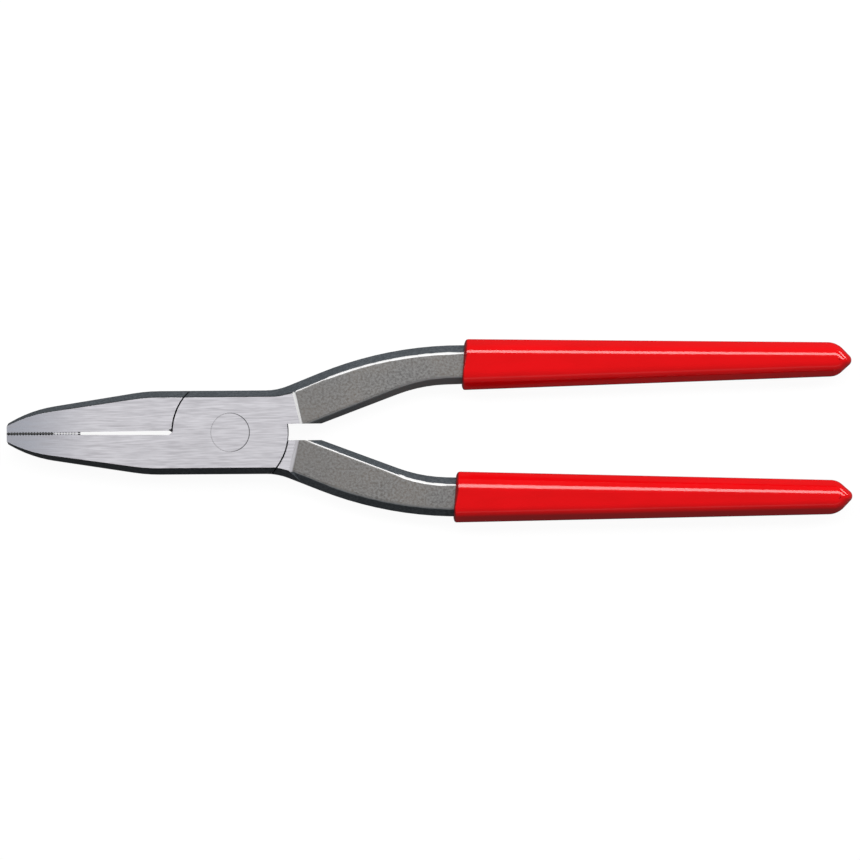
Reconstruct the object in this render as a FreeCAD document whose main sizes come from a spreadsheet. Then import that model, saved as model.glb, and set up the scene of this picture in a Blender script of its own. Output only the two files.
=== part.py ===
import FreeCAD, Part
import math
import os
import re
import Sketcher

# Flat-nose seaming pliers: two equal forged levers crossed in a lap joint, one flush rivet
# and a dip-moulded grip on each handle. Millimetres. X runs from the jaw tips towards the
# handle ends, Z is the rivet's axis, and Z = 0 is the ground face that the tool lies on.
# A lever is drawn with its jaw at -Y and its handle at +Y, about its own middle plane.

DIMENSIONS = {
    # jaws and joint plate, seen from above
    "jaw_length": 74.1,
    "tip_half_width": 3.45,
    "tip_radius": 0.35,
    "nose_reach": 66.5,
    "nose_half_width": 7.84,
    "nose_radius": 42.0,
    "cheek_reach": 27.9,
    "cheek_radius": 55.0,
    "head_half_width": 13.9,
    "plate_reach": 24.0,
    "blank_margin": 1.0,
    # handle steel: its outer bow rises 0.4 along X, and so does the edge of the step
    "throat_reach": 15.5,
    "throat_radius": 20.0,
    "throat_face_radius": 15.0,
    "bow_reach": 52.5,
    "bow_height": 28.7,
    "bow_radius": 125.0,
    "crook_reach": 63.3,
    "crook_height": 15.2,
    "crook_radius": 50.0,
    "fork_reach": 20.5,
    "fork_drop": 0.86,
    "tang_reach": 203.9,
    "tang_end_outer": 27.3,
    "tang_end_inner": 19.0,
    "tang_end_radius": 3.6,
    "tang_end_face_radius": 1.3,
    # half thicknesses across Z: flat faces, and the parting land left between the bevels
    "half_head": 6.0,
    "half_tang": 4.4,
    "half_land": 0.8,
    # bevels between the land and the flat faces, measured from above
    "tip_bevel": 0.9,
    "nose_bevel": 1.6,
    "head_bevel": 2.2,
    "throat_bevel": 2.95,
    "outer_bevel": 2.6,
    "inner_bevel": 2.3,
    "fork_bevel": 1.6,
    "tang_round": 1.1,
    # step from the ground joint plate down to the handle: short in front, long behind
    "step_reach": 26.6,
    "step_run": 8.0,
    "step_rise": 3.2,
    "step_drop": 4.3,
    "front_ramp": 2.8,
    "back_ramp": 4.2,
    # gripping faces: coarse teeth at the tip, fine teeth, then the open slot
    "tip_gap": 0.015,
    "coarse_end": 59.4,
    "fine_gap": 0.09,
    "fine_end": 50.5,
    "relief_gap": 0.47,
    "slot_end": 20.4,
    "slot_gap": 0.72,
    "slot_fill": 0.3,
    "first_tooth": 73.4,
    "tooth_pitch": 0.95,
    "tooth_count": 24,
    "tooth_depth": 0.46,
    "tooth_half_width": 0.37,
    # lap joint and rivet
    "lap_radius": 19.05,
    "lap_gap": 0.5,
    "lap_over": 15.5,
    "notch_reach": 19.7,
    "notch_offset": 0.5,
    "notch_radius": 0.75,
    "crotch_half_width": 2.75,
    "crotch_reach": 40.0,
    "cut_over": 30.0,
    "shank_radius": 4.5,
    "rivet_head_radius": 6.45,
    "rivet_head_depth": 1.95,
    "rivet_clearance": 0.07,
    # grips
    "front_grip_outer_start": 77.9,
    "front_grip_inner_start": 77.1,
    "rear_grip_outer_start": 74.0,
    "rear_grip_inner_start": 75.2,
    "grip_outer": 30.5,
    "grip_inner": 13.55,
    "grip_end_reach": 201.9,
    "grip_end_outer": 28.7,
    "grip_end_inner": 17.1,
    "grip_end_radius": 8.0,
    "grip_end_face_radius": 5.0,
    "grip_apex_reach": 207.0,
    "grip_apex_height": 22.8,
    "grip_apex_radius": 1.2,
    "grip_apex_bevel": 3.5,
    "grip_bevel": 3.8,
    "grip_end_bevel": 3.0,
    "grip_end_setback": 2.0,
    "half_grip": 6.0,
    "half_grip_land": 1.5,
    "grip_round": 1.0,
    "grip_side_round": 1.5,
}

doc = FreeCAD.newDocument("seaming_pliers")
sheet = doc.addObject("Spreadsheet::Sheet", "dims")
for row, (alias, value) in enumerate(DIMENSIONS.items(), start=1):
    sheet.set(f"A{row}", alias)
    sheet.set(f"B{row}", str(value))
    sheet.setAlias(f"B{row}", alias)
doc.recompute()


def bound(text):
    """Turns sheet words into references, so '-jaw_length' reads '-dims.jaw_length'."""
    return re.sub(r"[a-z_]+", lambda word: "dims." + word.group(), text)


def number(text):
    """The present value of a sum of sheet words and plain numbers."""
    total = 0.0
    for sign, term in re.findall(r"(-?)\s*([a-z_]+|[0-9.]+)", text):
        value = float(sheet.get(term)) if term[0].isalpha() else float(term)
        total += -value if sign else value
    return total


# Sketch helpers


def new_body(label, flipped=False):
    """A body whose middle plane sits at half the head's height, turned over about X or not."""
    body = doc.addObject("PartDesign::Body", label)
    body.Label = label
    turn = FreeCAD.Rotation(FreeCAD.Vector(1, 0, 0), 180 if flipped else 0)
    body.Placement = FreeCAD.Placement(FreeCAD.Vector(), turn)
    body.setExpression(".Placement.Base.z", bound("half_head"))
    return body


def origin_feature(body, role):
    return next(item for item in body.Origin.OriginFeatures if item.Role == role)


def new_sketch(body, name, height="0", plane="XY_Plane"):
    """A sketch on one of the body's own planes, raised along its normal."""
    sketch = body.newObject("Sketcher::SketchObject", name)
    sketch.AttachmentSupport = (origin_feature(body, plane), [""])
    sketch.MapMode = "FlatFace"
    sketch.setExpression(".AttachmentOffset.Base.z", bound(height))
    return sketch


def hold(sketch, kind, where, expression):
    """Adds one dimension to a sketch and binds it to the sheet."""
    index = sketch.addConstraint(Sketcher.Constraint(kind, *where, number(expression)))
    sketch.setExpression(f"Constraints[{index}]", bound(expression))


def pin_point(sketch, geometry, end, x, y):
    hold(sketch, "DistanceX", (-1, 1, geometry, end), x)
    hold(sketch, "DistanceY", (-1, 1, geometry, end), y)


def drawn_arc(start, middle, end):
    """An arc through three points, drawn anticlockwise, as a sketch needs it."""
    if (middle - start).cross(end - middle).z < 0:
        start, end = end, start
    return Part.Arc(start, middle, end)


def arc_ends(arc, spot):
    """The sketch's numbers for an arc's two ends, the one nearer to a spot first."""
    nearer_start = arc.StartPoint.distanceToPoint(spot) < arc.EndPoint.distanceToPoint(spot)
    return (1, 2) if nearer_start else (2, 1)


def round_corner(sketch, before, after, spot, back, ahead, x, y, radius):
    """Joins two lines by a tangent arc, with the sharp corner kept as a pinned point."""
    half_angle = back.getAngle(ahead) / 2
    inward = (back + ahead).normalize()
    nearest = spot + inward * (number(radius) / math.sin(half_angle) - number(radius))
    reach = number(radius) / math.tan(half_angle)
    arc = sketch.addGeometry(drawn_arc(spot + back * reach, nearest, spot + ahead * reach), False)
    first, second = arc_ends(sketch.Geometry[arc], spot + back * reach)
    corner = sketch.addGeometry(Part.Point(spot), True)
    sketch.addConstraint(Sketcher.Constraint("Tangent", before, 2, arc, first))
    sketch.addConstraint(Sketcher.Constraint("Tangent", arc, second, after, 1))
    sketch.addConstraint(Sketcher.Constraint("PointOnObject", corner, 1, before))
    sketch.addConstraint(Sketcher.Constraint("PointOnObject", corner, 1, after))
    pin_point(sketch, corner, 1, x, y)
    hold(sketch, "Radius", (arc,), radius)


def draw_outline(sketch, corners):
    """A closed outline through (x, y, radius) corners; with no radius a corner is sharp."""
    spots = [FreeCAD.Vector(number(x), number(y), 0) for x, y, _ in corners]
    after_spots = spots[1:] + spots[:1]
    aheads = [(b - a).normalize() for a, b in zip(spots, after_spots)]
    reaches = []
    for i, (_, _, radius) in enumerate(corners):
        half_angle = (-aheads[i - 1]).getAngle(aheads[i]) / 2
        reaches.append(number(radius) / math.tan(half_angle) if radius else 0.0)
    lines = []
    for i, ahead in enumerate(aheads):
        end_reach = reaches[(i + 1) % len(corners)]
        start, end = spots[i] + ahead * reaches[i], after_spots[i] - ahead * end_reach
        lines.append(sketch.addGeometry(Part.LineSegment(start, end), False))
    for i, (x, y, radius) in enumerate(corners):
        before, after = lines[i - 1], lines[i]
        if radius:
            round_corner(sketch, before, after, spots[i], -aheads[i - 1], aheads[i], x, y, radius)
        else:
            sketch.addConstraint(Sketcher.Constraint("Coincident", before, 2, after, 1))
            pin_point(sketch, after, 1, x, y)


def draw_lap_region(sketch, side, low, high, corners):
    """A region bounded by the lap circle from low to high in Y, then by straight lines."""
    radius = number("lap_radius")
    ends = []
    for level in (number(low), number(high)):
        ends.append(FreeCAD.Vector(side * math.sqrt(radius**2 - level**2), level, 0))
    middle = FreeCAD.Vector(side * radius, 0, 0)
    if number(low) * number(high) > 0:
        middle = (ends[0] + ends[1]).normalize() * radius
    arc = sketch.addGeometry(drawn_arc(ends[0], middle, ends[1]), False)
    low_end, high_end = arc_ends(sketch.Geometry[arc], ends[0])
    spots = [FreeCAD.Vector(number(x), number(y), 0) for x, y in corners]
    chain = [ends[1], *spots, ends[0]]
    lines = []
    for start, end in zip(chain, chain[1:]):
        lines.append(sketch.addGeometry(Part.LineSegment(start, end), False))
    sketch.addConstraint(Sketcher.Constraint("Coincident", arc, 3, -1, 1))
    sketch.addConstraint(Sketcher.Constraint("Coincident", arc, high_end, lines[0], 1))
    sketch.addConstraint(Sketcher.Constraint("Coincident", arc, low_end, lines[-1], 2))
    hold(sketch, "Radius", (arc,), "lap_radius")
    hold(sketch, "DistanceY", (-1, 1, arc, low_end), low)
    hold(sketch, "DistanceY", (-1, 1, arc, high_end), high)
    for i, (x, y) in enumerate(corners):
        sketch.addConstraint(Sketcher.Constraint("Coincident", lines[i], 2, lines[i + 1], 1))
        pin_point(sketch, lines[i + 1], 1, x, y)


def draw_circle(sketch, x, y, radius):
    centre = FreeCAD.Vector(number(x), number(y), 0)
    circle = sketch.addGeometry(Part.Circle(centre, FreeCAD.Vector(0, 0, 1), number(radius)), False)
    pin_point(sketch, circle, 3, x, y)
    hold(sketch, "Radius", (circle,), radius)


# Feature helpers


def corner(x, y, radius="", face_x="", face_y="", face_radius=""):
    """A corner of a bevelled slab: where it is on the land, and how the flat faces move in."""
    land = (x, y, radius)
    face = (x + face_x, y + face_y, face_radius or radius)
    return land, face


def bevelled_slab(body, name, front_corners, back_corners, half_thickness, half_land):
    """A slab whose edges slope from a land at mid height to its two flat faces."""
    layers = [
        ("front_face", half_thickness, [face for _, face in front_corners]),
        ("front_land", half_land, [edge for edge, _ in front_corners]),
        ("back_land", f"-{half_land}", [edge for edge, _ in back_corners]),
        ("back_face", f"-{half_thickness}", [face for _, face in back_corners]),
    ]
    sketches = []
    for layer, height, outline in layers:
        sketch = new_sketch(body, f"{name}_{layer}", height)
        draw_outline(sketch, outline)
        sketches.append(sketch)
    loft = body.newObject("PartDesign::AdditiveLoft", name)
    loft.Profile = sketches[0]
    loft.Sections = sketches[1:]
    loft.Ruled = True
    return loft


def round_edges(body, name, feature, height, radius, keep):
    """Rounds the edges that lie flat at a height above or below the middle, where keep says."""
    doc.recompute()
    level = number(height)
    names = []
    for i, edge in enumerate(feature.Shape.Edges, start=1):
        flat = all(abs(abs(vertex.Z) - level) < 1e-4 for vertex in edge.Vertexes)
        if flat and keep(edge.valueAt((edge.FirstParameter + edge.LastParameter) / 2)):
            names.append(f"Edge{i}")
    fillet = body.newObject("PartDesign::Fillet", name)
    fillet.Base = (feature, names)
    fillet.setExpression("Radius", bound(radius))
    return fillet


def cut_through(body, name, sketch):
    pocket = body.newObject("PartDesign::Pocket", name)
    pocket.Profile = sketch
    pocket.Type = "ThroughAll"
    pocket.Midplane = True
    return pocket


def cut_back_half(body, name, sketch):
    """Cuts from the middle plane out through the lever's back."""
    pocket = body.newObject("PartDesign::Pocket", name)
    pocket.Profile = sketch
    pocket.Type = "Length"
    pocket.setExpression("Length", bound("half_head + blank_margin"))
    return pocket


def turn_section(body, kind, name, corners):
    """Turns a section, drawn as (radius, height), about the rivet's axis."""
    section = new_sketch(body, f"{name}_section", plane="XZ_Plane")
    draw_outline(section, [(radius, height, "") for radius, height in corners])
    turned = body.newObject(kind, name)
    turned.Profile = section
    turned.ReferenceAxis = (origin_feature(body, "Z_Axis"), [""])
    turned.Angle = 360
    return turned


# The pieces


def tang_corners():
    """The handle's steel, from inside the head to its rounded end inside the grip."""
    end_round = ("tang_end_radius", "-inner_bevel")
    return [
        corner("throat_reach", "head_half_width", face_y="-throat_bevel"),
        corner("fork_reach", "-fork_drop", face_y="+fork_bevel"),
        corner("crook_reach", "crook_height", "crook_radius", face_y="+inner_bevel"),
        corner("tang_reach", "tang_end_inner", *end_round, "+inner_bevel", "tang_end_face_radius"),
        corner("tang_reach", "tang_end_outer", *end_round, "-inner_bevel", "tang_end_face_radius"),
        corner("bow_reach", "bow_height", "bow_radius", face_y="-outer_bevel"),
    ]


def head_corners(ramp):
    """One jaw and the joint plate, up to the ramp at the root of the handle."""
    throat = "throat_radius"
    return [
        corner("-jaw_length", "blank_margin"),
        corner("-jaw_length", "-tip_half_width", "tip_radius", face_y="+tip_bevel"),
        corner("-nose_reach", "-nose_half_width", "nose_radius", face_y="+nose_bevel"),
        corner("-cheek_reach", "-head_half_width", "cheek_radius", face_y="+head_bevel"),
        corner("fork_reach", "-head_half_width", face_y="+head_bevel"),
        corner("step_reach", "0", face_x=f"-{ramp}"),
        corner(
            "throat_reach + step_run",
            "head_half_width + step_rise",
            face_x=f"-{ramp}",
            face_y="-step_drop",
        ),
        corner("throat_reach", "head_half_width", throat, "", "-head_bevel", "throat_face_radius"),
        corner("-plate_reach", "head_half_width", face_y="-head_bevel"),
        corner("-plate_reach", "blank_margin"),
    ]


def trim_to_lap(body):
    """Frees the other lever: its jaw, its handle and its half of the joint plate."""
    jaw_side = new_sketch(body, "other_jaw")
    draw_lap_region(
        jaw_side,
        -1,
        "slot_fill",
        "lap_over",
        [
            ("-lap_radius", "cut_over"),
            ("-jaw_length - blank_margin", "cut_over"),
            ("-jaw_length - blank_margin", "-tip_gap"),
            ("-coarse_end", "-tip_gap"),
            ("-coarse_end", "-fine_gap"),
            ("-fine_end", "-fine_gap"),
            ("-fine_end", "-relief_gap"),
            ("-slot_end", "-slot_gap"),
        ],
    )
    cut_through(body, "jaw_trim", jaw_side)
    handle_side = new_sketch(body, "other_handle")
    draw_lap_region(
        handle_side,
        1,
        "-lap_over",
        "crotch_half_width",
        [
            ("crotch_reach", "crotch_half_width"),
            ("crotch_reach", "-cut_over"),
            ("0", "-cut_over"),
        ],
    )
    cut_through(body, "handle_trim", handle_side)
    recess = new_sketch(body, "recess_circle")
    draw_circle(recess, "0", "0", "lap_radius + lap_gap")
    cut_back_half(body, "lap_recess", recess)
    notch = new_sketch(body, "notch_circle")
    draw_circle(notch, "-notch_reach", "-notch_offset", "notch_radius")
    cut_back_half(body, "slot_notch", notch)


def bore_for_rivet(body, clearance):
    """A countersunk hole in the front half of the joint plate."""
    hole = [
        ("0", "-blank_margin"),
        (f"shank_radius{clearance}", "-blank_margin"),
        (f"shank_radius{clearance}", "half_head - rivet_head_depth"),
        (f"rivet_head_radius{clearance}", "half_head"),
        (f"rivet_head_radius{clearance}", "half_head + blank_margin"),
        ("0", "half_head + blank_margin"),
    ]
    return turn_section(body, "PartDesign::Groove", "rivet_hole", hole)


def cut_teeth(body):
    """Cross grooves along the gripping face, one drawn and the rest repeated along X."""
    groove = new_sketch(body, "tooth_outline")
    draw_outline(
        groove,
        [
            ("-first_tooth - tooth_half_width", "tip_gap", ""),
            ("-first_tooth - tooth_half_width", "-tip_gap", ""),
            ("-first_tooth", "-tooth_depth", ""),
            ("-first_tooth + tooth_half_width", "-tip_gap", ""),
            ("-first_tooth + tooth_half_width", "tip_gap", ""),
        ],
    )
    tooth = cut_through(body, "tooth_groove", groove)
    pattern = body.newObject("PartDesign::LinearPattern", "teeth")
    pattern.Originals = [tooth]
    pattern.Direction = (origin_feature(body, "X_Axis"), [""])
    pattern.setExpression("Length", bound("tooth_pitch * (tooth_count - 1)"))
    pattern.setExpression("Occurrences", bound("tooth_count"))
    body.Tip = pattern
    return pattern


def build_lever(label, clearance, flipped):
    body = new_body(label, flipped)
    tang = bevelled_slab(body, "tang", tang_corners(), tang_corners(), "half_tang", "half_land")
    root = number("fork_reach") + 1
    round_edges(body, "tang_rounds", tang, "half_tang", "tang_round", lambda spot: spot.x > root)
    front_head, back_head = head_corners("front_ramp"), head_corners("back_ramp")
    bevelled_slab(body, "head", front_head, back_head, "half_head", "half_land")
    trim_to_lap(body)
    bore_for_rivet(body, clearance)
    cut_teeth(body)
    return body


def build_rivet():
    body = new_body("pivot_rivet")
    half_section = [
        ("0", "-half_head"),
        ("rivet_head_radius", "-half_head"),
        ("shank_radius", "rivet_head_depth - half_head"),
        ("shank_radius", "half_head - rivet_head_depth"),
        ("rivet_head_radius", "half_head"),
        ("0", "half_head"),
    ]
    turn_section(body, "PartDesign::Revolution", "rivet_turning", half_section)
    return body


def grip_corners(outer_start, inner_start):
    """A grip's outline from its open end to its pointed, closed end."""
    end_round = ("grip_end_radius", "-grip_end_setback")
    end_face = "grip_end_face_radius"
    return [
        corner(outer_start, "grip_outer", face_y="-grip_bevel"),
        corner(inner_start, "grip_inner", face_y="+grip_bevel"),
        corner("grip_end_reach", "grip_end_inner", *end_round, "+grip_end_bevel", end_face),
        corner("grip_apex_reach", "grip_apex_height", "grip_apex_radius", "-grip_apex_bevel"),
        corner("grip_end_reach", "grip_end_outer", *end_round, "-grip_end_bevel", end_face),
    ]


def build_grip(label, lever, outer_start, inner_start, flipped):
    """The grip's outer form with the lever's steel taken out of it."""
    body = new_body(f"{label}_form", flipped)
    outline = grip_corners(outer_start, inner_start)
    form = bevelled_slab(body, "form", outline, outline, "half_grip", "half_grip_land")

    def past_opening(spot):
        return spot.x > number("front_grip_outer_start") + 1

    faces = round_edges(body, "face_rounds", form, "half_grip", "grip_round", past_opening)
    round_edges(body, "side_rounds", faces, "half_grip_land", "grip_side_round", past_opening)
    grip = doc.addObject("Part::Cut", label)
    grip.Label = label
    grip.Base = body
    grip.Tool = lever
    return grip


def check_document():
    """Stops if a feature failed, or if a cut took nothing away."""
    doc.recompute()
    for item in doc.Objects:
        if "Invalid" in item.State or "Error" in item.State:
            raise RuntimeError(f"{item.Name}: {item.getStatusString()}")
        if item.TypeId in ("PartDesign::Pocket", "PartDesign::Groove"):
            if item.Shape.Volume > item.BaseFeature.Shape.Volume - 0.1:
                raise RuntimeError(f"{item.Name} cuts nothing")


def export(pieces):
    os.makedirs("parts", exist_ok=True)
    for piece in pieces:
        shape = piece.Shape
        if shape.isNull() or not shape.isValid() or len(shape.Solids) != 1:
            raise RuntimeError(f"{piece.Label} is not one valid solid")
        shape.exportStep(f"parts/{piece.Label}.step")
        print(f"{piece.Label}: {shape.Volume:.0f} mm3, {len(shape.Faces)} faces")


front_lever = build_lever("front_lever", " + rivet_clearance", flipped=False)
rear_lever = build_lever("rear_lever", "", flipped=True)
pivot_rivet = build_rivet()
front_grip = build_grip(
    "front_grip", front_lever, "front_grip_outer_start", "front_grip_inner_start", flipped=False
)
rear_grip = build_grip(
    "rear_grip", rear_lever, "rear_grip_outer_start", "rear_grip_inner_start", flipped=True
)
check_document()
export([front_lever, rear_lever, pivot_rivet, front_grip, rear_grip])
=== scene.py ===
import math
from functools import cached_property

import bmesh
import bpy
from mathutils import Euler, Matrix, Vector


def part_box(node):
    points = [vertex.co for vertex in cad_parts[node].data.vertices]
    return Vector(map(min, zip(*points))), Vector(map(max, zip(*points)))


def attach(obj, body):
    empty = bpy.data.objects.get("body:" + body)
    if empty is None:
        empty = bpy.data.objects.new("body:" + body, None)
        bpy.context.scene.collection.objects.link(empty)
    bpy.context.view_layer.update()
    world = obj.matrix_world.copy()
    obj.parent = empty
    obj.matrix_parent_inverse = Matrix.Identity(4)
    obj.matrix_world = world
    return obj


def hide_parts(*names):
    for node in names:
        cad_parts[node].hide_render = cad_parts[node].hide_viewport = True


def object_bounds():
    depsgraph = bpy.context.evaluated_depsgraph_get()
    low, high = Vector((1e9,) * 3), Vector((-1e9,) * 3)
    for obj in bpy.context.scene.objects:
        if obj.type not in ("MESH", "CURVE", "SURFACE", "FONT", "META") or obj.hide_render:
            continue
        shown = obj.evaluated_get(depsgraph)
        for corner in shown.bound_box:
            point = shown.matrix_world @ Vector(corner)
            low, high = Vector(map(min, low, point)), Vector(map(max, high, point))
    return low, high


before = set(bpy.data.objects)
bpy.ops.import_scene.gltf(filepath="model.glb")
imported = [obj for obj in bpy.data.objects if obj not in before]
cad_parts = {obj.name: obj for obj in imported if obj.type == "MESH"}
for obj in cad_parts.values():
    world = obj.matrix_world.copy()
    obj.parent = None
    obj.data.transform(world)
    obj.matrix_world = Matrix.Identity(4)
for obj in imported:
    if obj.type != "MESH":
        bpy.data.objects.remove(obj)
CAD_LOW, CAD_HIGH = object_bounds()

# Flat-nose seaming pliers. Metres, in the part's own frame: X from the jaw tips to the handle
# ends, Z along the rivet. The steel is the CAD model's own; the dipped grips are built here.

MM = 0.001
LENGTH = CAD_HIGH.x - CAD_LOW.x
THICKNESS = CAD_HIGH.z - CAD_LOW.z
MIDDLE = (CAD_LOW + CAD_HIGH) / 2


# Materials


class Graph:
    """A material and the nodes that feed its shader."""

    def __init__(self, name):
        self.material = bpy.data.materials.new(name)
        self.material.use_nodes = True
        self.tree = self.material.node_tree
        self.shader = self.tree.nodes["Principled BSDF"]
        self.places = self.tree.nodes.new("ShaderNodeTexCoord")

    def join(self, value, socket):
        """Feeds a socket from another node's socket, or sets it to a plain value."""
        if isinstance(value, bpy.types.NodeSocket):
            self.tree.links.new(value, socket)
        else:
            socket.default_value = value

    def feed(self, value, name):
        self.join(value, self.shader.inputs[name])

    def math(self, operation, first, second=0.0):
        node = self.tree.nodes.new("ShaderNodeMath")
        node.operation = operation
        self.join(first, node.inputs[0])
        self.join(second, node.inputs[1])
        return node.outputs[0]

    def product(self, first, *others):
        """All the values multiplied."""
        for other in others:
            first = self.math("MULTIPLY", first, other)
        return first

    def largest(self, first, *others):
        """The largest of the values."""
        for other in others:
            first = self.math("MAXIMUM", first, other)
        return first

    def step(self, value, low, high):
        """0 below low, 1 above high and a smooth rise between; high may be the smaller one."""
        node = self.tree.nodes.new("ShaderNodeMapRange")
        node.interpolation_type = "SMOOTHSTEP"
        self.join(value, node.inputs["Value"])
        node.inputs["From Min"].default_value = low
        node.inputs["From Max"].default_value = high
        return node.outputs[0]

    def between(self, value, low, high, blur):
        """1 where low < value < high, with blurred ends."""
        rise = self.step(value, low - blur, low + blur)
        fall = self.step(value, high + blur, high - blur)
        return self.product(rise, fall)

    def blend(self, factor, first, second):
        """A number from first to second as the factor goes from 0 to 1."""
        node = self.tree.nodes.new("ShaderNodeMix")
        node.data_type = "FLOAT"
        self.join(factor, node.inputs[0])
        self.join(first, node.inputs[2])
        self.join(second, node.inputs[3])
        return node.outputs[0]

    def tint(self, factor, first, second):
        """A colour from first to second as the factor goes from 0 to 1."""
        node = self.tree.nodes.new("ShaderNodeMix")
        node.data_type = "RGBA"
        self.join(factor, node.inputs[0])
        self.join(first, node.inputs[6])
        self.join(second, node.inputs[7])
        return node.outputs[2]

    def noise(self, size, detail=2.0, roughness=0.5):
        """Noise whose grain is about size = (x, y, z) metres across."""
        mapping = self.tree.nodes.new("ShaderNodeMapping")
        self.join(self.places.outputs["Object"], mapping.inputs["Vector"])
        mapping.inputs["Scale"].default_value = [1 / length for length in size]
        node = self.tree.nodes.new("ShaderNodeTexNoise")
        node.inputs["Scale"].default_value = 1.0
        node.inputs["Detail"].default_value = detail
        node.inputs["Roughness"].default_value = roughness
        self.join(mapping.outputs[0], node.inputs["Vector"])
        return node.outputs["Fac"]

    def split(self, output):
        """The X, Y and Z of a texture coordinate: "Object" for the place, "Normal" for the slope."""
        node = self.tree.nodes.new("ShaderNodeSeparateXYZ")
        self.join(self.places.outputs[output], node.inputs[0])
        return node.outputs

    def bump(self, height, distance, strength=1.0):
        node = self.tree.nodes.new("ShaderNodeBump")
        node.inputs["Distance"].default_value = distance
        node.inputs["Strength"].default_value = strength
        self.join(height, node.inputs["Height"])
        self.feed(node.outputs[0], "Normal")


def grey(value, warmth=0.0):
    """A near-grey colour; warmth above 0 leans to brown and below 0 to blue."""
    return (value * (1 + warmth), value, value * (1 - warmth), 1.0)


# Steel: the dimensions that its finishes follow

HEAD_HALF = THICKNESS / 2
TANG_HALF = 4.4 * MM
JAW_TIP = CAD_LOW.x
FIRST_TOOTH = -73.4 * MM
TOOTH_PITCH = 0.95 * MM
TEETH_END = -58.5 * MM
TIP_START = -42 * MM
SLOT_END = -17 * MM
JAW_FACE = 0.9 * MM
LAP_RADIUS = 19.05 * MM
THROAT_HALF = 2.8 * MM
PLATE_REACH = 20 * MM
SOOT_END = 48 * MM
RAMP_START = 18.6 * MM
RAMP_END = 27 * MM
RAMP_SIDE = 13.4 * MM
RIVET_RADIUS = (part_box("pivot_rivet")[1].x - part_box("pivot_rivet")[0].x) / 2

# Where a mask starts and where it is full. Heights are from the middle of the thickness, and
# the blasted ones are a low end, a high end and their blur.

GROUND_HEIGHT = (HEAD_HALF - 0.12 * MM, HEAD_HALF - 0.05 * MM)
# the band high on the head's bevels where shade is painted
SHADE_BAND_HEIGHT = (HEAD_HALF - 1.0 * MM, HEAD_HALF - 0.3 * MM)
LAP_HEIGHT = (1.0 * MM, 0.5 * MM)
EDGE_HEIGHT = (TANG_HALF - 1.1 * MM, TANG_HALF - 0.7 * MM)
STEEP_HEIGHT = (TANG_HALF - 0.2 * MM, TANG_HALF + 0.6 * MM)
GROUND_RAMP_HEIGHT = (TANG_HALF, TANG_HALF + 0.8 * MM)
BLASTED_HEIGHTS = (TANG_HALF - 0.4 * MM, TANG_HALF + 0.3 * MM, 0.1 * MM)
TOOTH_SIDE = (0.48 * MM, 0.34 * MM)
STEEP_TURN = (-1 * MM * MM, 1 * MM * MM)
LAP_REACH = (LAP_RADIUS + 0.1 * MM, LAP_RADIUS)
RIM_REACH = (RIVET_RADIUS - 0.30 * MM, RIVET_RADIUS - 0.12 * MM)

# The same for slopes: how squarely a face looks along Z, or its normal's lean along X or Y

FLAT = (0.97, 0.995)
LEVEL = (0.86, 0.92)
CREST_SLOPE = (0.8, 0.95)
RAMP_SLOPE = (0.15, 0.25)
INNER_SLOPE = (-0.3, -0.6)

# How far the painted shade of the teeth waves in and out, how the wear and painted highlight on edges
# varies, and how the painted shade at the rivet's rim varies

TOOTH_SWING = 0.14 * MM
EDGE_SLOPE = 0.87
EDGE_BLUR = 0.02
EDGE_WIDTH = (0.08, 0.105)
EDGE_WIDTH_SPAN = (30 * MM, 78 * MM)
EDGE_STRENGTH = (0.2, 1.0)
EDGE_STRENGTH_SPAN = (-0.4 * MM, 0.4 * MM)
RIM_STRENGTH = (0.15, 0.9)
RIM_STRENGTH_SPAN = (-2 * MM, 4 * MM)

GROUND = (0.665, 0.655, 0.69, 1.0)
GROUND_LINE = (0.37, 0.36, 0.385, 1.0)
GROUND_TIP = (0.33, 0.35, 0.40, 1.0)
BLASTED = grey(0.26, 0.01)
BLASTED_PIT = grey(0.13, 0.02)
BLASTED_STAIN = grey(0.15, 0.12)
SOOTED = grey(0.165, 0.03)
SCALE_DARK = grey(0.075, -0.12)
SCALE_PALE = grey(0.17, -0.10)
# painted light: lightens the front handle's −Y-facing inner bevel as if lit from that side
SCALE_PAINTED_LIT = grey(0.22, 0.03)
# painted shade: a dark band high on the head's bevels and a ring round the rivet's rim
PAINTED_SHADE = grey(0.045, -0.08)
# painted shade in the tooth grooves
PAINTED_TOOTH_SHADE = grey(0.012, -0.08)
# worn edges, also painted as a highlight where they face the key light
WORN_EDGE_AND_HIGHLIGHT = grey(0.80)

# How metallic and how rough each finish is, and how deep it is cut

SCALE_METAL = 0.15
BLASTED_METAL = 0.6
EDGE_METAL = 0.6
RAMP_METAL = 0.2
GROUND_METAL = 0.5
SCALE_ROUGH = (0.40, 0.60)
BLASTED_ROUGH = (0.5, 0.7)
EDGE_ROUGH = 0.68
GROUND_ROUGH = (0.60, 0.70)
STEEL_SPECULAR = 0.05
STREAK_TINT = 0.8
SOOT_TINT = 0.4
SCALE_RELIEF = 0.5
BLASTED_RELIEF = 1.0
GROUND_RELIEF = 0.25
STEEL_BUMP = 0.06 * MM
RIVET_BUMP = 0.015 * MM
BUMP_STRENGTH = 0.8


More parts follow.
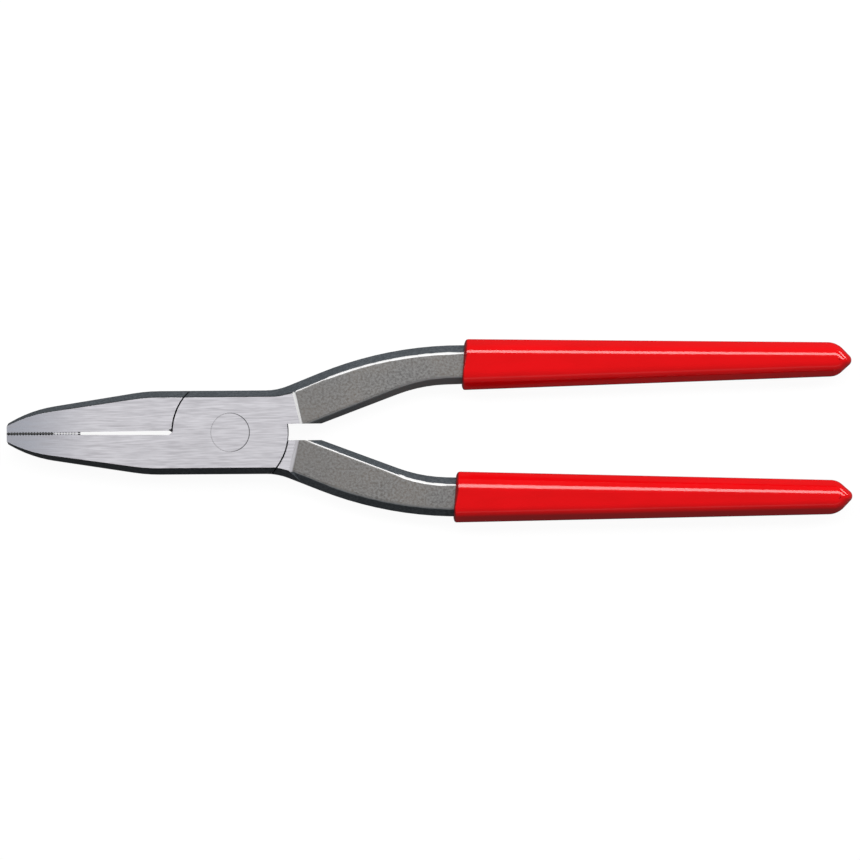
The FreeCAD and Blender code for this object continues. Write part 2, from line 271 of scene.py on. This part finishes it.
class Steel(Graph):
    """A steel finish: its grinding lines, and the measures that its masks are worked out from."""

    def __init__(self, name):
        super().__init__(name)
        self.x, self.y, self.z = self.split("Object")
        self.normal_x, self.normal_y, self.normal_z = self.split("Normal")

    @cached_property
    def above(self):
        return self.math("SUBTRACT", self.z, MIDDLE.z)

    @cached_property
    def height(self):
        return self.math("ABSOLUTE", self.above)

    @cached_property
    def side(self):
        return self.math("ABSOLUTE", self.y)

    @cached_property
    def facing(self):
        return self.math("ABSOLUTE", self.normal_z)

    @cached_property
    def high_up(self):
        return self.step(self.height, *EDGE_HEIGHT)

    @cached_property
    def grains(self):
        return self.noise((0.8 * MM,) * 3, 4.0, 0.65)

    @cached_property
    def patches(self):
        return self.noise((12 * MM,) * 3, 2.0)

    @cached_property
    def streaks(self):
        """Fine grinding lines along X, from hairlines to faint broad bands."""
        hairlines = self.noise((8 * MM, 0.16 * MM, 0.5 * MM), 3.0, 0.6)
        scratches = self.noise((7 * MM, 0.55 * MM, 1 * MM), 2.0, 0.5)
        bands = self.noise((40 * MM, 1.6 * MM, 3 * MM), 2.0)
        fine = self.blend(0.55, self.step(hairlines, 0.30, 0.72), self.step(scratches, 0.34, 0.68))
        return self.blend(0.25, fine, self.step(bands, 0.25, 0.75))

    def off_axis(self):
        """The distance from the rivet's axis."""
        squares = (self.product(length, length) for length in (self.x, self.y))
        return self.math("SQRT", self.math("ADD", *squares))

    def teeth(self):
        """The toothed tips, out to an edge that waves once with each tooth; the grooves' shade is
        painted there.
        """
        turn = self.product(self.math("SUBTRACT", self.x, FIRST_TOOTH), math.tau / TOOTH_PITCH)
        swing = self.product(self.math("COSINE", turn), TOOTH_SWING)
        near = self.step(self.math("SUBTRACT", self.side, swing), *TOOTH_SIDE)
        return self.product(self.step(self.x, TEETH_END + 0.1 * MM, TEETH_END - 0.1 * MM), near)

    def bright(self, teeth):
        """Ground faces, the lap's own faces, the clean gripping faces and the teeth's crests."""
        flat = self.step(self.facing, *FLAT)
        ground = self.product(self.step(self.height, *GROUND_HEIGHT), flat)
        in_lap = self.step(self.off_axis(), *LAP_REACH)
        lap = self.product(self.step(self.height, *LAP_HEIGHT), in_lap, flat)
        jaw_wall = self.product(self.step(self.side, JAW_FACE, 0.8 * JAW_FACE),
                                self.between(self.x, TEETH_END, SLOT_END, 1 * MM))
        plate_edge = self.between(self.x, LAP_RADIUS - 1 * MM, LAP_RADIUS + 1 * MM, 0.2 * MM)
        in_throat = self.step(self.side, THROAT_HALF + 0.2 * MM, THROAT_HALF)
        smooth = self.largest(ground, lap, jaw_wall, self.product(in_throat, plate_edge))
        level_side = self.step(self.math("ABSOLUTE", self.normal_y), *CREST_SLOPE)
        crests = self.product(teeth, level_side)
        return self.largest(self.product(smooth, self.math("SUBTRACT", 1.0, teeth)), crests)

    def blasted(self):
        """The level faces of the bare handles."""
        on_tang = self.between(self.height, *BLASTED_HEIGHTS)
        behind = self.step(self.x, PLATE_REACH, PLATE_REACH + 1 * MM)
        return self.product(on_tang, behind, self.step(self.facing, *LEVEL))

    def worn_edge_and_highlight(self):
        """The rounds along a handle's face, worn and painted with a highlight, wider toward the grip
        and strongest on the side that faces the key light.
        """
        width = self.blend(self.step(self.x, *EDGE_WIDTH_SPAN), *EDGE_WIDTH)
        off_slope = self.math("ABSOLUTE", self.math("SUBTRACT", self.facing, EDGE_SLOPE))
        on_round = self.step(self.math("SUBTRACT", off_slope, width), EDGE_BLUR, -EDGE_BLUR)
        # painted highlight: full on the rounds facing +Y on top and −Y underneath, weak on the others
        lit_side = self.step(self.product(self.normal_y, self.above), *EDGE_STRENGTH_SPAN)
        return self.product(on_round, self.high_up, self.blend(lit_side, *EDGE_STRENGTH))

    def steep(self):
        """1 on the quarters where the ramp from handle to plate is the steep one."""
        return self.step(self.product(self.y, self.above), *STEEP_TURN)

    def ramp(self, steep):
        """The ramps from the handles up to the plate."""
        ahead = self.step(self.normal_x, *RAMP_SLOPE)
        within = self.step(self.side, RAMP_SIDE, RAMP_SIDE - 0.4 * MM)
        along = self.between(self.x, RAMP_START, RAMP_END, 0.4 * MM)
        raised = self.blend(steep, self.high_up, self.step(self.height, *STEEP_HEIGHT))
        return self.product(ahead, along, within, raised)

    def ground_colour(self, base):
        """A base colour under darker grinding lines."""
        return self.tint(self.product(self.streaks, STREAK_TINT), base, GROUND_LINE)

    def blasted_colour(self):
        """Pale grains over pits and stains, sooted beside the plate."""
        pitted = self.tint(self.step(self.patches, 0.3, 0.7), BLASTED_PIT, BLASTED_STAIN)
        grainy = self.tint(self.step(self.grains, 0.66, 0.30), BLASTED, pitted)
        near_plate = self.step(self.x, SOOT_END, PLATE_REACH)
        soot = self.product(near_plate, self.step(self.patches, 0.1, 0.7), SOOT_TINT)
        return self.tint(soot, grainy, SOOTED)

    def scale_colour(self, teeth):
        """Dark forging scale, painted lighter on the front handle's −Y-facing inner bevel as if lit
        from that side, with a painted shade band high on the head's bevels and painted shade in the
        tooth grooves.
        """
        mottled = self.product(self.step(self.grains, 0.35, 0.7), self.patches)
        scale = self.tint(mottled, SCALE_DARK, SCALE_PALE)
        # painted light on the front handle's −Y-facing inner bevel
        inner = self.product(self.step(self.normal_y, *INNER_SLOPE), self.step(self.y, 0, 2 * MM),
                             self.step(self.x, PLATE_REACH, PLATE_REACH + 6 * MM))
        scale = self.tint(inner, scale, self.tint(self.patches, SCALE_PAINTED_LIT, SCALE_PALE))
        # painted shade: the dark band high on the head's bevels, and the tooth grooves
        return self.tint(teeth, self.tint(self.step(self.height, *SHADE_BAND_HEIGHT), scale, PAINTED_SHADE), PAINTED_TOOTH_SHADE)

    def ramp_colour(self, steep, blasted_colour):
        """Worn and painted bright as a highlight where steep; where shallow, blasted below and ground
        above.
        """
        ground_top = self.step(self.height, *GROUND_RAMP_HEIGHT)
        return self.tint(steep, self.tint(ground_top, blasted_colour, GROUND), WORN_EDGE_AND_HIGHLIGHT)


def steel_material(name):
    """Forged steel: ground flats, shot-blasted handles, dark bevels with painted shade and light,
    worn edges with a painted highlight, and painted shade in the teeth.
    """
    steel = Steel(name)
    teeth, steep = steel.teeth(), steel.steep()
    bright, blasted = steel.bright(teeth), steel.blasted()
    edge, ramp = steel.worn_edge_and_highlight(), steel.ramp(steep)

    ground_base = steel.tint(steel.step(steel.x, TIP_START, JAW_TIP), GROUND, GROUND_TIP)
    blasted_colour = steel.blasted_colour()
    colour = steel.tint(blasted, steel.scale_colour(teeth), blasted_colour)
    colour = steel.tint(edge, colour, WORN_EDGE_AND_HIGHLIGHT)
    # painted highlight on the steep ramps
    colour = steel.tint(ramp, colour, steel.ramp_colour(steep, blasted_colour))
    colour = steel.tint(bright, colour, steel.ground_colour(ground_base))
    steel.feed(colour, "Base Color")

    metal = steel.blend(blasted, SCALE_METAL, BLASTED_METAL)
    for area, amount in ((edge, EDGE_METAL), (ramp, RAMP_METAL), (bright, GROUND_METAL)):
        metal = steel.blend(area, metal, amount)
    steel.feed(metal, "Metallic")

    scale_rough = steel.blend(steel.patches, *SCALE_ROUGH)
    rough = steel.blend(blasted, scale_rough, steel.blend(steel.grains, *BLASTED_ROUGH))
    rough = steel.blend(edge, rough, EDGE_ROUGH)
    rough = steel.blend(bright, rough, steel.blend(steel.streaks, *GROUND_ROUGH))
    steel.feed(rough, "Roughness")
    steel.feed(STEEL_SPECULAR, "Specular IOR Level")

    grain_relief = steel.product(steel.grains, steel.blend(blasted, SCALE_RELIEF, BLASTED_RELIEF))
    streak_relief = steel.product(steel.streaks, GROUND_RELIEF)
    steel.bump(steel.blend(bright, grain_relief, streak_relief), STEEL_BUMP, BUMP_STRENGTH)
    return steel.material


def rivet_material(name):
    """The rivet's ground-off head, streaked like the plate around it, with painted shade round its
    rim that is darkest toward +X, and its plain shank.
    """
    steel = Steel(name)
    rim = steel.step(steel.off_axis(), *RIM_REACH)
    # painted shade round the rim, darkest toward +X
    painted_shade_side = steel.blend(steel.step(steel.x, *RIM_STRENGTH_SPAN), *RIM_STRENGTH)
    shade = steel.tint(steel.product(rim, painted_shade_side), steel.ground_colour(GROUND), PAINTED_SHADE)
    steel.feed(shade, "Base Color")
    steel.feed(GROUND_METAL, "Metallic")
    steel.feed(steel.blend(steel.streaks, *GROUND_ROUGH), "Roughness")
    steel.feed(STEEL_SPECULAR, "Specular IOR Level")
    steel.bump(steel.streaks, RIVET_BUMP, BUMP_STRENGTH)
    return steel.material


VINYL = (0.75, 0.0015, 0.004, 1.0)
VINYL_DEEP = (0.69, 0.0015, 0.003, 1.0)
# painted shade for the lip's rounding
VINYL_LIP_SHADE = (0.20, 0.004, 0.004, 1.0)
VINYL_ROUGH = (0.10, 0.13)
VINYL_IOR = 1.55
VINYL_BUMP = 0.003 * MM


def vinyl_material(name):
    """Dip-moulded vinyl: glossy, with the faint waviness and dust of a dipped skin, and painted shade
    on the lip's rounding that faces the jaws.
    """
    graph = Graph(name)
    cloud = graph.noise((18 * MM, 6 * MM, 6 * MM), 3.0)
    peel = graph.noise((1.6 * MM,) * 3, 2.0)
    speck = graph.step(graph.noise((0.35 * MM,) * 3, 1.0), 0.70, 0.78)
    shade = graph.tint(graph.step(cloud, 0.3, 0.75), VINYL, VINYL_DEEP)
    shade = graph.tint(graph.product(speck, 0.25), shade, VINYL_DEEP)
    # painted shade where the lip's rounding faces the jaws
    lip_shade = graph.step(graph.split("Normal")[0], -0.15, -0.75)
    graph.feed(graph.tint(lip_shade, shade, VINYL_LIP_SHADE), "Base Color")
    graph.feed(graph.blend(cloud, *VINYL_ROUGH), "Roughness")
    graph.feed(VINYL_IOR, "IOR")
    graph.bump(graph.blend(0.15, peel, cloud), VINYL_BUMP, 0.4)
    return graph.material


def paint(piece, material):
    piece.data.materials.clear()
    piece.data.materials.append(material)


# Grips: a bevelled bar with a blunt point, rounded over its bevels and open where the handle
# goes in. Its outline is followed by two curves, one on the side wall and one on the flat face.

# where its sides stand at the shoulders of its point, and where the point's corner is
END_DROP = 1.9 * MM
END_RISE = 3.7 * MM
END_REACH = 5.0 * MM
POINT_OVER = 0.85 * MM
POINT_SHIFT = 0.45 * MM

# the arcs at the outer shoulder, the point and the inner shoulder
WALL_RADII = (7.0 * MM, 2.1 * MM, 5.5 * MM)
FACE_RADII = (0.5 * MM, 0.2 * MM, 0.5 * MM)

# from the side wall in to the flat face, and from the skin in to the steel: outer, inner
LIP_INSETS = (5.4 * MM, 6.5 * MM)
END_INSETS = (5.15 * MM, 5.4 * MM)
FLANK_INSET = 3.6 * MM
STEEL_INSETS = (3.4 * MM, 3.0 * MM)
STEEL_HALF = TANG_HALF - 0.05 * MM
WALLS = (2.05 * MM, 1.8 * MM)

# how finely its curves are cut, and how far along its straight sides the cavity goes
ARC_STEPS = 8
FACE_STEPS = 5
OUTLINE_STEPS = 24
BODY_STATIONS = 12
FLANK_STATIONS = 5
CAVITY_END = 0.96

# the lip: how far along X in millimetres, and how far out from the steel to the full section
LIP = [(0.0, -0.03), (-0.22, 0.03), (-0.28, 0.12), (-0.22, 0.3), (-0.06, 0.55), (0.14, 0.78),
       (0.45, 0.93), (0.9, 0.99)]


def rounded(corners, steps):
    """A polyline through (x, y, radius) corners, each turned by an arc; the ends stay sharp."""
    points = [Vector(corners[0][:2])]
    for before, here, after in zip(corners, corners[1:], corners[2:]):
        spot = Vector(here[:2])
        back = (Vector(before[:2]) - spot).normalized()
        ahead = (Vector(after[:2]) - spot).normalized()
        half = back.angle(ahead) / 2
        centre = spot + (back + ahead).normalized() * (here[2] / math.sin(half))
        reach = here[2] / math.tan(half)
        start, end = spot + back * reach - centre, spot + ahead * reach - centre
        for i in range(steps + 1):
            points.append(centre + start.slerp(end, i / steps) * here[2])
    points.append(Vector(corners[-1][:2]))
    return points


def profile(land, half, bevel, reach, side_round, face_round):
    """Half of a bar's side, as (share of the way in to the flat face, height) points."""
    corners = [(0, 0, 0), (0, land, side_round), (bevel, half, face_round), (reach, half, 0)]
    return [Vector((point.x / reach, point.y)) for point in rounded(corners, ARC_STEPS)]


def domed(land, half, count):
    """The same for a domed end: a low wall and a quarter of an ellipse above it."""
    points = [Vector((0, 0))]
    for i in range(count - 1):
        turn = math.pi / 2 * i / (count - 2)
        points.append(Vector((1 - math.cos(turn), land + (half - land) * math.sin(turn))))
    return points


SKIN_PROFILE = profile(
    land=1.5 * MM,
    half=THICKNESS / 2,
    bevel=2.95 * MM,
    reach=LIP_INSETS[0],
    side_round=2.2 * MM,
    face_round=4.0 * MM,
)
END_PROFILE = domed(land=1.0 * MM, half=THICKNESS / 2, count=len(SKIN_PROFILE))
STEEL_PROFILE = profile(
    land=0.8 * MM,
    half=STEEL_HALF,
    bevel=2.6 * MM,
    reach=STEEL_INSETS[0],
    side_round=0.3 * MM,
    face_round=1.1 * MM,
)


def meet(first, first_reach, second, second_reach):
    """The offset that lies first_reach along one unit direction and second_reach along another."""
    spread = first.x * second.y - first.y * second.x
    x = (first_reach * second.y - second_reach * first.y) / spread
    y = (second_reach * first.x - first_reach * second.x) / spread
    return Vector((x, y))


def inset(corners, distances):
    """An open polyline moved to its right, each edge by its own distance; the ends keep their X."""
    across = [Vector((1, 0))]
    for start, end in zip(corners, corners[1:]):
        edge = (end - start).normalized()
        across.append(Vector((edge.y, -edge.x)))
    across.append(Vector((1, 0)))
    reaches = [0, *distances, 0]
    return [
        corner + meet(across[i], reaches[i], across[i + 1], reaches[i + 1])
        for i, corner in enumerate(corners)
    ]


def side_curves(corners, radii):
    """The outer and the inner side, each from the lip to the point."""
    turns = [0, *radii, 0]
    outline = rounded([(*spot, radius) for spot, radius in zip(corners, turns)], OUTLINE_STEPS)
    middle = len(outline) // 2
    return outline[: middle + 1], outline[middle:][::-1]


def spot_at(curve, place):
    """The spot at a place along a curve, counted in points and parts of a point."""
    first = int(place)
    return curve[first].lerp(curve[min(first + 1, len(curve) - 1)], place - first)


def section_ring(outer, outer_face, inner_face, inner, side):
    """A closed ring whose two sides rise from the walls to the flat face by the same profile."""
    upper = [(*outer.lerp(outer_face, share), height) for share, height in side]
    top = side[-1][1]
    for i in range(1, FACE_STEPS):
        upper.append((*outer_face.lerp(inner_face, i / FACE_STEPS), top))
    upper += [(*inner.lerp(inner_face, share), height) for share, height in reversed(side)]
    lower = [(x, y, -height) for x, y, height in reversed(upper[1:-1])]
    return [Vector((x, y, MIDDLE.z + height)) for x, y, height in upper + lower]


def steel_ring(outer, inner):
    """The handle's own section between the two sides of its grip."""
    across = (inner - outer).normalized()
    near, far = outer + across * WALLS[0], inner - across * WALLS[1]
    near_face, far_face = near + across * STEEL_INSETS[0], far - across * STEEL_INSETS[1]
    return section_ring(near, near_face, far_face, far, STEEL_PROFILE)


def grip_corners(low, high, outer_start, inner_start):
    """The outline of a grip whose outer side is the +Y one, from lip to point and back."""
    end_x = high.x - END_REACH
    outer_y, inner_y = high.y - END_DROP, low.y + END_RISE
    return [
        Vector((outer_start, high.y)),
        Vector((end_x, outer_y)),
        Vector((high.x + POINT_OVER, (outer_y + inner_y) / 2 - POINT_SHIFT)),
        Vector((end_x, inner_y)),
        Vector((inner_start, low.y)),
    ]


def grip_curves(corners):
    """The four curves of a grip: outer wall, outer and inner edge of the flat face, inner wall."""
    outer, inner = side_curves(corners, WALL_RADII)
    face = inset(corners, (END_INSETS[0], FLANK_INSET, FLANK_INSET, END_INSETS[1]))
    face[0].y = corners[0].y - LIP_INSETS[0]
    face[-1].y = corners[-1].y + LIP_INSETS[1]
    outer_face, inner_face = side_curves(face, FACE_RADII)
    return outer, outer_face, inner_face, inner


def lip_rings(curves):
    """From the steel out to the full section."""
    steel_start = steel_ring(curves[0][0], curves[-1][0])
    skin_start = section_ring(*(curve[0] for curve in curves), SKIN_PROFILE)
    for ahead, out in LIP:
        shift = Vector((ahead * MM, 0, 0))
        yield [steel.lerp(skin, out) + shift for steel, skin in zip(steel_start, skin_start)]


def ring_places(end):
    """Where the rings of the full section are, in points along its curves: the straight body,
    the shoulder's arc, the straight flank and the point's arc."""
    flank = OUTLINE_STEPS + 1
    yield from (i / BODY_STATIONS for i in range(1, BODY_STATIONS))
    yield from range(1, flank)
    yield from (flank + i / FLANK_STATIONS for i in range(FLANK_STATIONS))
    yield from range(flank + 1, end)


def grip_rings(corners):
    """All rings of a grip: out of its cavity, round the lip and along to the point."""
    curves = grip_curves(corners)
    rings = [steel_ring(spot_at(curves[0], CAVITY_END), spot_at(curves[-1], CAVITY_END))]
    rings += lip_rings(curves)
    for place in ring_places(len(curves[0])):
        share = min(1.0, max(0.0, (place - 1) / OUTLINE_STEPS))
        side = [spot.lerp(end_spot, share) for spot, end_spot in zip(SKIN_PROFILE, END_PROFILE)]
        rings.append(section_ring(*(spot_at(curve, place) for curve in curves), side))
    return rings


# points nearer to each other than this are one
SEAM = 0.002 * MM


def mesh_object(name, points, faces):
    """A smooth-shaded object in the scene, with its near points joined and faces outward."""
    mesh = bpy.data.meshes.new(name)
    mesh.from_pydata(points, [], faces)
    work = bmesh.new()
    work.from_mesh(mesh)
    bmesh.ops.remove_doubles(work, verts=work.verts, dist=SEAM)
    bmesh.ops.dissolve_degenerate(work, edges=work.edges, dist=SEAM)
    bmesh.ops.recalc_face_normals(work, faces=work.faces)
    work.to_mesh(mesh)
    work.free()
    mesh.polygons.foreach_set("use_smooth", [True] * len(mesh.polygons))
    piece = bpy.data.objects.new(name, mesh)
    bpy.context.scene.collection.objects.link(piece)
    return piece


def build_grip(name, node, side, outer_start, inner_start):
    """One grip on the +Y side, or on the -Y side with side = -1."""
    low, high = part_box(node)
    if side < 0:
        low.y, high.y = -high.y, -low.y
    rings = grip_rings(grip_corners(low, high, low.x + outer_start, low.x + inner_start))
    count = len(rings[0])
    points = [(point.x, side * point.y, point.z) for ring in rings for point in ring]
    faces = [list(range(count))]
    for start in range(0, len(points) - count, count):
        for i in range(count):
            j = (i + 1) % count
            faces.append((start + i, start + j, start + count + j, start + count + i))
    return mesh_object(name, points, faces)


# Stage, lights and camera

FLOOR_SIZE = 12.0
FLOOR_GAP = 0.05 * MM
FLOOR_GLOW = 0.95
WORLD_GLOW = 0.12

# name, lean from straight up and turn about Z in degrees, reach and size in metres, watts
LIGHTS = [
    ("long_key", -30, 0, 1.0, (2.6, 0.40), 20),
    ("fill", 50, 0, 1.2, (2.2, 0.26), 0.5),
    ("end_card", -84, -54, 1.0, (0.6, 0.16), 2.6),
]

CAMERA_LENS = 200
CAMERA_SENSOR = 36
CAMERA_ROLL = -0.4
CAMERA_SIDE = 0.34 * MM
CAMERA_CLIP = 20
FRAME_WIDTH = 1.0176 * LENGTH
FRAME_HEIGHT = 0.75 * THICKNESS


def make_floor():
    """White paper just under the tool, which lights nothing and isn't mirrored in the steel."""
    edge, level = FLOOR_SIZE / 2, CAD_LOW.z - FLOOR_GAP
    corners = [(-edge, -edge, level), (edge, -edge, level), (edge, edge, level), (-edge, edge, level)]
    floor = mesh_object("floor", corners, [(0, 1, 2, 3)])
    graph = Graph("floor_paper")
    fibre = graph.noise((2 * MM,) * 3, 2.0)
    graph.feed(graph.tint(fibre, grey(0.05), grey(0.06)), "Base Color")
    graph.feed(0.9, "Roughness")
    graph.feed((1, 1, 1, 1), "Emission Color")
    graph.feed(FLOOR_GLOW, "Emission Strength")
    paint(floor, graph.material)
    floor.visible_glossy = False
    floor.visible_diffuse = False


def area_light(name, lean, turn, reach, size, power):
    """A soft rectangle of light that leans away from straight up, turned about Z."""
    lamp = bpy.data.lights.new(name, "AREA")
    lamp.shape = "RECTANGLE"
    lamp.size, lamp.size_y = size
    lamp.energy = power
    light = bpy.data.objects.new(name, lamp)
    light.rotation_euler = Euler((math.radians(lean), 0, math.radians(turn)))
    away = light.rotation_euler.to_matrix() @ Vector((0, 0, reach))
    light.location = MIDDLE + away
    light.visible_camera = False
    bpy.context.scene.collection.objects.link(light)


def make_lights():
    """The lamps of the table, in an even grey room."""
    for light in LIGHTS:
        area_light(*light)
    world = bpy.data.worlds.new("studio")
    bpy.context.scene.world = world
    world.use_nodes = True
    background = world.node_tree.nodes["Background"]
    background.inputs["Color"].default_value = grey(1.0)
    background.inputs["Strength"].default_value = WORLD_GLOW


def make_camera():
    """Straight above the tool, far off, and rolled a little as the tool lies in its picture."""
    data = bpy.data.cameras.new("camera")
    data.lens = CAMERA_LENS
    data.sensor_width = CAMERA_SENSOR
    data.clip_end = CAMERA_CLIP
    reach = FRAME_WIDTH * CAMERA_LENS / CAMERA_SENSOR
    camera = bpy.data.objects.new("camera", data)
    camera.location = (MIDDLE.x, CAMERA_SIDE, CAD_LOW.z + FRAME_HEIGHT + reach)
    camera.rotation_euler = (0, 0, math.radians(CAMERA_ROLL))
    bpy.context.scene.collection.objects.link(camera)
    bpy.context.scene.camera = camera
    bpy.context.scene.view_settings.view_transform = "Standard"


make_camera()
make_lights()
make_floor()

steel = steel_material("forged_steel")
for lever in ("front_lever", "rear_lever"):
    paint(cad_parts[lever], steel)
paint(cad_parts["pivot_rivet"], rivet_material("rivet_steel"))

# each grip's lip is cut off aslant: it starts later on its outer or on its inner side
vinyl = vinyl_material("grip_vinyl")
for node, body, side, outer_start, inner_start in (
    ("front_grip", "front_half", 1, 1.1 * MM, 0.0),
    ("rear_grip", "rear_half", -1, 0.0, 1.2 * MM),
):
    grip = build_grip(f"{node}_skin", node, side, outer_start, inner_start)
    paint(grip, vinyl)
    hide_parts(node)
    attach(grip, body)
